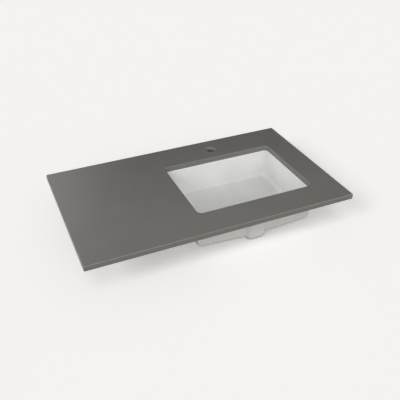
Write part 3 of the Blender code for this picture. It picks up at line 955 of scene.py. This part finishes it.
def makeDrainBore():
    # the bore through the drain's collar, opened again where the duct's body runs into it
    b = basin
    radius, edge, foot = b["drainRadius"] + b["boreGap"], b["softEdge"], b["collarZ"] - past
    profile = [(0, foot), (radius + edge, foot), (radius + edge, b["collarZ"])]
    profile += [(radius + out, b["collarZ"] + up) for out, up in rounding(edge, 4)[1:]]
    bore = turnProfile("drainBore", profile + [(radius, b["boreTop"]), (0, b["boreTop"])], 96)
    bore.location = (*drain, 0)
    settlePlace(bore)
    return bore


def makeHollow():
    # the hollow of the duct, from behind the overflow slot round an elbow to the drain
    d = duct
    deep = d["hollowFar"] - d["hollowNear"]
    topY = frontWall(d["hollowTop"])
    startY = topY - (d["hollowNear"] + d["hollowFar"]) / 2
    hollow = addPlane("ductHollow", (middleX, startY, d["hollowTop"]), (2 * d["hollowHalfWidth"], deep, 1))
    elbowZ = d["hollowFloor"] + d["hollowElbow"]
    elbowY = frontWall(elbowZ)
    selectAll("FACE")
    pushOut("FACE", 0, elbowY - topY, elbowZ - d["hollowTop"])
    axle = (middleX, elbowY - d["hollowFar"] + d["hollowElbow"], elbowZ)
    bpy.ops.mesh.spin(steps=10, angle=-math.pi / 2, center=axle, axis=(1, 0, 0))
    end = middleY + d["hollowEnd"]
    pushOut("FACE", 0, end - axle[1], 0)
    narrower = d["hollowDrainHalfWidth"] / d["hollowHalfWidth"]
    stretch(narrower, 1, (d["hollowRoof"] - d["hollowFloor"]) / deep, (middleX, end, d["hollowFloor"]))
    closeShape()
    return hollow


def makeSlot():
    # the overflow slot through the bowl's front wall, with a soft edge on the bowl's side
    d, edge = duct, basin["softEdge"]
    wallY = frontWall(d["slotZ"])
    half = (d["slotHalfWidth"], 1, d["slotHalfHeight"])
    start = (middleX, wallY - d["slotStart"], d["slotZ"])
    slot = addPlane("overflowSlot", start, (2 * half[0], 1, 2 * half[2]), math.pi / 2)
    selectAll("VERT")
    bevelPoints(d["slotHalfHeight"] - near, 12)
    selectAll("FACE")
    pushOut("FACE", 0, d["slotStart"] - edge, 0)
    flareOut((middleX, wallY, d["slotZ"]), half, edge, 1)
    closeShape()
    return slot


def makeBasin():
    b = basin
    grown = b["rimRadius"]
    start = (b["halfLength"] + grown, b["halfDepth"] + grown, b["rimCorner"] + grown)
    ring = roundedLoop("chinaBasin", *start, b["rimZ"], b["cornerPoints"], b["sidePoints"])
    piece = bpy.context.object
    rim = dict(ring)
    drawBowl(ring)
    # back to the rim, and out over the flange
    pick("EDGE", lambda edge: edge.is_boundary and all(abs(v.co.z - b["rimZ"]) < hair for v in edge.verts))
    drawOutside(rim)
    pick("EDGE", lambda edge: edge.is_boundary)
    bpy.ops.mesh.bridge_edge_loops()
    bpy.ops.mesh.select_all(action="SELECT")
    bpy.ops.mesh.normals_make_consistent(inside=False)

    def outward(face):
        # faces of the outer wall and underside, which point away from the bowl's middle
        middle = face.calc_center_median()
        clearOfDrain = (middle.xy - Vector(drain)).length > b["drainRadius"] + 0.002
        away = middle - Vector((*bowlMiddle, b["heartZ"]))
        return face.normal.dot(away) > 0 and middle.z < flangeZ + 0.0005 and clearOfDrain

    pick("FACE", outward)
    bpy.ops.mesh.select_mode(type="VERT")
    dropKeel()
    closeShape()
    cutAway(piece, makeDuct(), operation="UNION")
    cutAway(piece, makeDrainBore(), makeHollow(), makeSlot())
    smoothPiece(piece, 38)
    finishPiece(piece, ["basin"], whiteChina)


makeBasin()
print("basin made")

# Sealant

bead = {
    "innerSetback": 0.0015,  # behind the cut-out's wall
    "outerSetback": 0.004,  # inside the edge of the basin's flange
    "top": -0.00003,
    "bottom": -0.00227,
    "bulge": 0.0006,
    "waver": 0.001,
    "waverLength": 0.021,
    "waverBand": 0.3,  # share of the half height
    "cornerPoints": 10,
    "sidePoints": 79,
}


def makeBead():
    # a flat ring between the rim and the slab, squeezed out a little at both edges
    b, s = basin, bead
    inner = [b[key] + s["innerSetback"] for key in ("halfLength", "halfDepth", "rimCorner")]
    ring = roundedLoop("sealantBead", *inner, s["top"], s["cornerPoints"], s["sidePoints"])
    piece = bpy.context.object
    middle, half = (s["top"] + s["bottom"]) / 2, (s["top"] - s["bottom"]) / 2
    width = b["flangeWidth"] - s["outerSetback"] - s["innerSetback"]

    def around(growth, z):
        drawRing(ring, *[size + growth for size in inner], z)

    def edgeRound(growth, side, angles, up):
        for angle in angles:
            around(growth + side * s["bulge"] * math.sin(angle), middle + up * half * math.cos(angle))

    around(width * 0.5, s["top"])
    edgeRound(width, 1, quarter(4), 1)
    edgeRound(width, 1, reversed(quarter(4)[:-1]), -1)
    around(width * 0.5, s["bottom"])
    edgeRound(0, -1, quarter(4), -1)
    edgeRound(0, -1, reversed(quarter(4)[1:-1]), 1)
    pick("EDGE", lambda edge: edge.is_boundary)
    bpy.ops.mesh.bridge_edge_loops()
    closeShape()
    # the gun's pressure wavers, so the edges do too
    lumps = bpy.data.textures.new("beadLumps", "CLOUDS")
    lumps.noise_scale = s["waverLength"]
    edges = piece.vertex_groups.new(name="edges")
    for vert in piece.data.vertices:
        if abs(vert.co.z - middle) < half * s["waverBand"]:
            edges.add([vert.index], 1.0, "REPLACE")
    waver = {"texture": lumps, "texture_coords": "LOCAL", "vertex_group": "edges", "mid_level": 0.5}
    shapeWith(piece, "DISPLACE", strength=s["waver"], **waver)
    smoothPiece(piece, 60)
    finishPiece(piece, ["sealant_bead"], whiteSilicone)


makeBead()
print("sealant made")

# Clamps: each is an insert in the slab, a stud, a bent clip, a washer and a wing nut.
# One is made about its stud, with +X towards the basin, and copied to the six places.

clamp = {
    "insertRadius": 0.0047,
    "insertLength": 0.012,
    "insertEase": 0.0003,
    "grooveDepth": 0.0006,
    "knurlDepth": 0.00025,
    "knurlPoints": 56,
    "bore": 0.0033,
    "studRadius": 0.0030,
    "threadRoot": 0.00245,
    "threadPitch": 0.0010,
    "threadShape": ((0, 0), (0, 0.18), (1, 0.44), (1, 0.58), (0, 0.84), (0, 1)),  # is crest, pitch's share
    "studTop": 0.012,
    "studBottom": -0.033,
    "studChamfer": 0.0006,
    "blankGap": 0.00002,  # between the thread's crests and the blank that trims it
    "clipHeel": -0.012,
    "clipToe": 0.020,
    "clipHalfWidth": 0.0125,
    "clipThickness": 0.002,
    "clipTop": -0.0003,
    "clipEase": 0.0003,
    "plateZ": -0.0146,
    "bendRadius": 0.004,
    "clipCorner": 0.003,
    "heelCorner": 0.0012,
    "slotHalfLength": 0.006,
    "slotMargin": 0.001,
    "slotReach": 0.005,  # of its cutter, above and below the plate
    "washerRadius": 0.008,
    "washerTop": -0.0169,
    "washerThickness": 0.0012,
    "washerEase": 0.0004,  # the punch rounds one side and leaves the other sharp
    "washerBurr": 0.0001,
    "nutTop": -0.0184,
    "nutHeight": 0.008,
    "nutTopRadius": 0.006,
    "nutBottomRadius": 0.00475,
    "nutEdge": 0.0006,
    "wingRoot": 0.00355,
    "wingTop": ((0.00355, 0.0010), (0.0075, 0.0016), (0.0120, 0.0036), (0.015, 0.0066)),  # (X, below nutTop)
    "wingUnder": ((0.015, 0.012), (0.0104, 0.012), (0.0072, 0.0098), (0.00355, 0.0070)),
    "wingCorner": 0.0018,
    "wingThickness": 0.0024,
    "wingTaper": 0.78,
    "taperFrom": 0.010,
    "forgingGrain": 0.00038,
}


def makeInsert():
    c = clamp
    bore, outer, length, ease = c["bore"], c["insertRadius"], c["insertLength"], c["insertEase"]
    groove, band = outer - c["grooveDepth"], length / 5
    profile = [(bore + ease, 0), (outer - ease, 0), (outer, ease)]
    for low in (band, 3 * band):
        high = low + band
        profile += [(outer, low), (groove, low + ease), (groove, high - ease), (outer, high)]
    profile += [(outer, length - ease), (outer - ease, length), (bore + ease, length)]
    piece = turnProfile("insert", profile + [(bore, length - ease), (bore, ease)], c["knurlPoints"])
    editShape()

    def valley(vert):
        # every other point of the bands goes in, which leaves a straight knurl
        turn = math.atan2(vert.co.y, vert.co.x) / (2 * math.pi) * c["knurlPoints"]
        return round(turn) % 2 == 1 and math.hypot(vert.co.x, vert.co.y) > outer - near

    pick("VERT", valley)
    share = 1 - c["knurlDepth"] / outer
    stretch(share, share, 1, (0, 0, 0))
    closeShape()
    smoothPiece(piece, 20)
    return piece


def makeStud():
    # one turn of thread, wound down the stud by a Screw modifier, then trimmed and chamfered
    c = clamp
    crest, root, pitch = c["studRadius"], c["threadRoot"], c["threadPitch"]
    top, bottom, edge = c["studTop"], c["studBottom"], c["studChamfer"]
    start = bottom - 2 * pitch
    outline = [(crest if isCrest else root, 0, start + share * pitch) for isCrest, share in c["threadShape"]]
    piece = drawLine("stud", outline)
    bpy.ops.object.mode_set(mode="OBJECT")
    shapeWith(
        piece,
        "SCREW",
        axis="Z",
        angle=2 * math.pi,
        screw_offset=pitch,
        iterations=math.ceil((top - bottom) / pitch) + 4,
        steps=24,
        render_steps=24,
        use_merge_vertices=True,
        merge_threshold=2 * weld,
    )
    editShape()
    selectAll("VERT")
    bpy.ops.mesh.remove_doubles(threshold=2 * weld)
    # a cut through a row of points would leave the end open, so it is made just off the pitch
    for height, up in ((top + 0.937 * pitch, True), (bottom - 0.513 * pitch, False)):
        bpy.ops.mesh.select_all(action="SELECT")
        sides = {"use_fill": True, "clear_outer": up, "clear_inner": not up, "threshold": 1e-7}
        bpy.ops.mesh.bisect(plane_co=(0, 0, height), plane_no=(0, 0, 1), **sides)
    closeShape()
    outer = crest + c["blankGap"]
    profile = [(0, bottom), (crest - edge, bottom), (outer, bottom + edge)]
    profile += [(outer, top - edge / 2), (crest - edge / 2, top), (0, top)]
    cutAway(piece, turnProfile("studBlank", profile, 48), operation="INTERSECT")
    smoothPiece(piece, 28)
    return piece


def makeClip():
    c = clamp
    heel, toe, plate, slotHalf = c["clipHeel"], c["clipToe"], c["plateZ"], c["slotHalfLength"]
    path = [(heel, c["clipTop"])]
    path += [(heel + across, plate + up) for up, across in rounding(c["bendRadius"], 8)]
    beyondSlot = slotHalf + c["slotMargin"]
    path += [(-beyondSlot, plate), (beyondSlot, plate), (toe, plate)]
    piece = drawLine("clip", [(x, -c["clipHalfWidth"], z) for x, z in path])
    selectAll("VERT")
    pushOut("EDGE", 0, 2 * c["clipHalfWidth"], 0)
    pick("VERT", lambda vert: vert.co.x > toe - near)
    bevelPoints(c["clipCorner"], 8)
    pick("VERT", lambda vert: vert.co.z > c["clipTop"] - near)
    bevelPoints(c["heelCorner"], 5)
    closeShape()
    # the sheet's thickness goes outwards from the inside of the bend
    plateFace = min(piece.data.polygons, key=lambda face: face.center.z)
    shapeWith(piece, "SOLIDIFY", thickness=c["clipThickness"], offset=-1 if plateFace.normal.z > 0 else 1)
    slot = addPlane("clipSlot", (0, 0, plate - c["slotReach"]), (2 * slotHalf, 2 * c["bore"], 1))
    selectAll("VERT")
    bevelPoints(c["bore"] - near, 10)
    selectAll("FACE")
    pushOut("FACE", 0, 0, 2 * c["slotReach"])
    closeShape()
    cutAway(piece, slot)
    sharp = {"limit_method": "ANGLE", "angle_limit": math.radians(50)}
    shapeWith(piece, "BEVEL", width=c["clipEase"], segments=2, **sharp)
    smoothPiece(piece, 40)
    return piece


def makeWasher():
    c = clamp
    top, outer, bore, ease = c["washerTop"], c["washerRadius"], c["bore"], c["washerEase"]
    bottom, burr = top - c["washerThickness"], c["washerBurr"]
    profile = []
    for angle in quarter(3):
        profile.append((outer - ease + ease * math.sin(angle), bottom + ease - ease * math.cos(angle)))
    profile += [(outer, top - burr), (outer - burr, top), (bore + burr, top), (bore, top - burr)]
    piece = turnProfile("washer", profile + [(bore, bottom + ease / 2), (bore + ease / 2, bottom)], 56)
    smoothPiece(piece, 30)
    return piece


def makeWing():
    # an ear of the nut, drawn flat, given its thickness and thinned towards its tip
    c = clamp
    outline = c["wingTop"] + c["wingUnder"]
    wing = drawLine("wing", [(x, -c["wingThickness"] / 2, c["nutTop"] - below) for x, below in outline])
    selectAll("VERT")
    bpy.ops.mesh.edge_face_add()
    pick("VERT", lambda vert: vert.co.x > c["wingRoot"] + 0.001)
    bevelPoints(c["wingCorner"], 5)
    selectAll("FACE")
    pushOut("FACE", 0, c["wingThickness"], 0)
    pick("VERT", lambda vert: vert.co.x > c["taperFrom"])
    stretch(1, c["wingTaper"], 1, (0, 0, 0))
    closeShape()
    return wing


def makeWingNut():
    # hub and ears made one, softened as a forging is, then bored
    c = clamp
    top, bottom, edge = c["nutTop"], c["nutTop"] - c["nutHeight"], c["nutEdge"]
    profile = [(0, bottom), (c["nutBottomRadius"] - edge, bottom), (c["nutBottomRadius"], bottom + edge)]
    profile += [(c["nutTopRadius"], top - edge), (c["nutTopRadius"] - edge, top), (0, top)]
    piece = turnProfile("wingNut", profile, 48)
    for turn in (0, 180):
        wing = makeWing()
        wing.rotation_euler = (0, 0, math.radians(turn))
        settlePlace(wing)
        cutAway(piece, wing, operation="UNION")
    shapeWith(piece, "REMESH", mode="VOXEL", voxel_size=c["forgingGrain"])
    shapeWith(piece, "SMOOTH", factor=0.5, iterations=5)
    cutAway(piece, addRod(c["bore"], bottom - past / 2, top + past / 2))
    smoothPiece(piece, 40)
    return piece


def makeClamps():
    patterns = {
        "Insert": (makeInsert(), "insert", "brass", paleBrass),
        "Stud": (makeStud(), "stud", "steel", zincSteel),
        "Clip": (makeClip(), "clip", "steel", zincSteel),
        "Washer": (makeWasher(), "washer", "steel", zincSteel),
        "WingNut": (makeWingNut(), "wing_nut", "steel", zincSteel),
    }
    for place, (node, x, y, turn) in clampPlaces.items():
        for name, (pattern, part, slot, material) in patterns.items():
            choose(pattern)
            bpy.ops.object.duplicate(linked=False)
            copy = bpy.context.object
            copy.name = place + name
            copy.location = (x, y, 0)
            copy.rotation_euler = (0, 0, math.radians(turn))
            finishPiece(copy, [f"{node}_{part}"], material)
    for pattern, *_ in patterns.values():
        bpy.data.objects.remove(pattern, do_unlink=True)


makeClamps()
print("clamps made")

# Floor, lights and camera

stage = {
    "floorZ": -0.1503,
    "floorSize": 60,
    "floorColour": (0.975, 0.966, 0.949),
    "floorRoughness": 0.9,
    "backdropColour": (0.905, 0.896, 0.880),
    "sheetColour": (0.925, 0.916, 0.900),
    "sheetStrength": 0.376,
    "roomLight": 0.20,
    "flagTowards": (0.459, 0.864, 0.208),
    "flagEdge": 26,  # degrees from the flag's middle
    "flagMiddle": 12,
    # where each soft sun stands, its strength, its width in degrees and what it is let fall on
    "suns": {
        "lowestFront": ((-0.4, -0.91, 0.22), 0.094, 12, "object"),
        "lowFront": ((-0.4, -0.91, 0.40), 0.080, 20, "all"),
        "lowFrontFlagged": ((-0.4, -0.91, 0.40), 0.100, 20, "object"),
        "highFront": ((-0.4, -0.91, 1.43), 0.139, 20, "all"),
        "front": ((0.1, -1, 0.85), 0.069, 40, "all"),
        "leftKey": ((-0.9, -0.5, 0.72), 0.325, 20, "all"),
        "rightFill": ((1, -0.7, 0.75), 0.265, 60, "object"),
        "backLeft": ((-0.35, 1, 0.73), 0.476, 50, "basin"),
        "leftSheen": ((-0.612, 0.612, 0.500), 0.198, 18, "slab"),
        "middleSheen": ((0, 0.866, 0.500), 0.040, 18, "slab"),
        "highSheen": ((0.192, 0.718, 0.669), 0.008, 18, "slab"),
        "rightSheen": ((0.360, 0.623, 0.695), 0.014, 18, "slab"),
    },
    "cameraPlace": (-0.6469, -1.7927, 1.0611),
    "cameraAim": (0.33107, 0.76366, -0.55427),
    "cameraRoll": -0.373,  # degrees about the line of sight
    "focalLength": 50,
    "sensor": 36,
}


def makeFloor():
    choose()
    bpy.ops.mesh.primitive_plane_add(size=stage["floorSize"], location=(0, 0, stage["floorZ"]))
    floor = bpy.context.object
    floor.name = "studioFloor"
    settlePlace(floor)
    material, tree, shader = newMaterial("paleFloor")
    shader.inputs["Base Color"].default_value = solid(stage["floorColour"])
    shader.inputs["Roughness"].default_value = stage["floorRoughness"]
    shader.inputs["Specular IOR Level"].default_value = 0.0
    # the camera sees the floor as a lit sheet as well, which leaves a light shadow on it
    seen = addNode(tree, "LightPath").outputs["Is Camera Ray"]
    glow = combine(tree, "MULTIPLY", seen, stage["sheetStrength"])
    sheet = addNode(tree, "Emission", {"Color": solid(stage["sheetColour"]), "Strength": glow})
    lit = addNode(tree, "AddShader", {0: shader.outputs["BSDF"], 1: sheet.outputs["Emission"]})
    # seen from below, the floor is clear, so that the underside can be looked at
    below = addNode(tree, "NewGeometry").outputs["Backfacing"]
    clear = addNode(tree, "BsdfTransparent").outputs["BSDF"]
    mix = addNode(tree, "MixShader", {"Fac": below, 1: lit.outputs["Shader"], 2: clear})
    tree.links.new(mix.outputs["Shader"], tree.nodes["Material Output"].inputs["Surface"])
    floor.data.materials.append(material)


def makeWorld():
    # an even white room, with a dark flag behind and to the right, which keeps the slab's sheen down there
    world = bpy.data.worlds.new("studio")
    bpy.context.scene.world = world
    world.use_nodes = True
    tree = world.node_tree
    place = addNode(tree, "TexCoord").outputs["Generated"]
    towards = Vector(stage["flagTowards"]).normalized()
    near = addNode(tree, "VectorMath", {0: place, 1: towards}, operation="DOT_PRODUCT").outputs["Value"]
    edge, middle = (math.cos(math.radians(stage[key])) for key in ("flagEdge", "flagMiddle"))
    inputs = {"Value": near, "From Min": edge, "From Max": middle, "To Min": 1.0, "To Max": 0.0}
    flag = addNode(tree, "MapRange", inputs, interpolation_type="SMOOTHSTEP").outputs["Result"]
    room = tree.nodes["Background"]
    room.inputs["Strength"].default_value = stage["roomLight"]
    tree.links.new(flag, room.inputs["Color"])
    backdrop = addNode(tree, "Background", {"Color": solid(stage["backdropColour"])}).outputs["Background"]
    seen = addNode(tree, "LightPath").outputs["Is Camera Ray"]
    mix = addNode(tree, "MixShader", {"Fac": seen, 1: room.outputs["Background"], 2: backdrop})
    tree.links.new(mix.outputs["Shader"], tree.nodes["World Output"].inputs["Surface"])


def makeLights():
    # flags keep some suns off the floor, and the sheens off everything but the slab
    pieces = [piece for piece in bpy.data.objects if piece.type == "MESH" and piece.name != "studioFloor"]
    reached = {"object": pieces}
    reached["slab"] = [piece for piece in pieces if piece.name == "stoneTop"]
    reached["basin"] = [piece for piece in pieces if piece.name in ("chinaBasin", "sealantBead")]
    groups = {}
    for group, members in reached.items():
        groups[group] = bpy.data.collections.new(group + "Lit")
        for piece in members:
            groups[group].objects.link(piece)
    for name, (towards, strength, spread, group) in stage["suns"].items():
        sun = bpy.data.lights.new(name, "SUN")
        sun.energy = strength * math.pi
        sun.angle = math.radians(spread)
        light = bpy.data.objects.new(name, sun)
        bpy.context.scene.collection.objects.link(light)
        light.rotation_euler = Vector(towards).to_track_quat("Z", "Y").to_euler()
        if group != "all":
            light.light_linking.receiver_collection = groups[group]


def makeCamera():
    lens = bpy.data.cameras.new("camera")
    lens.lens = stage["focalLength"]
    lens.sensor_width = stage["sensor"]
    lens.clip_end = 100
    camera = bpy.data.objects.new("camera", lens)
    bpy.context.scene.collection.objects.link(camera)
    aim = Vector(stage["cameraAim"]).normalized()
    level = aim.to_track_quat("-Z", "Y").to_matrix().to_4x4()
    roll = Matrix.Rotation(math.radians(stage["cameraRoll"]), 4, "Z")
    camera.matrix_world = Matrix.Translation(stage["cameraPlace"]) @ level @ roll
    bpy.context.scene.camera = camera


makeFloor()
makeWorld()
makeLights()
makeCamera()
bpy.context.scene.view_settings.view_transform = "Standard"
print("stage made")
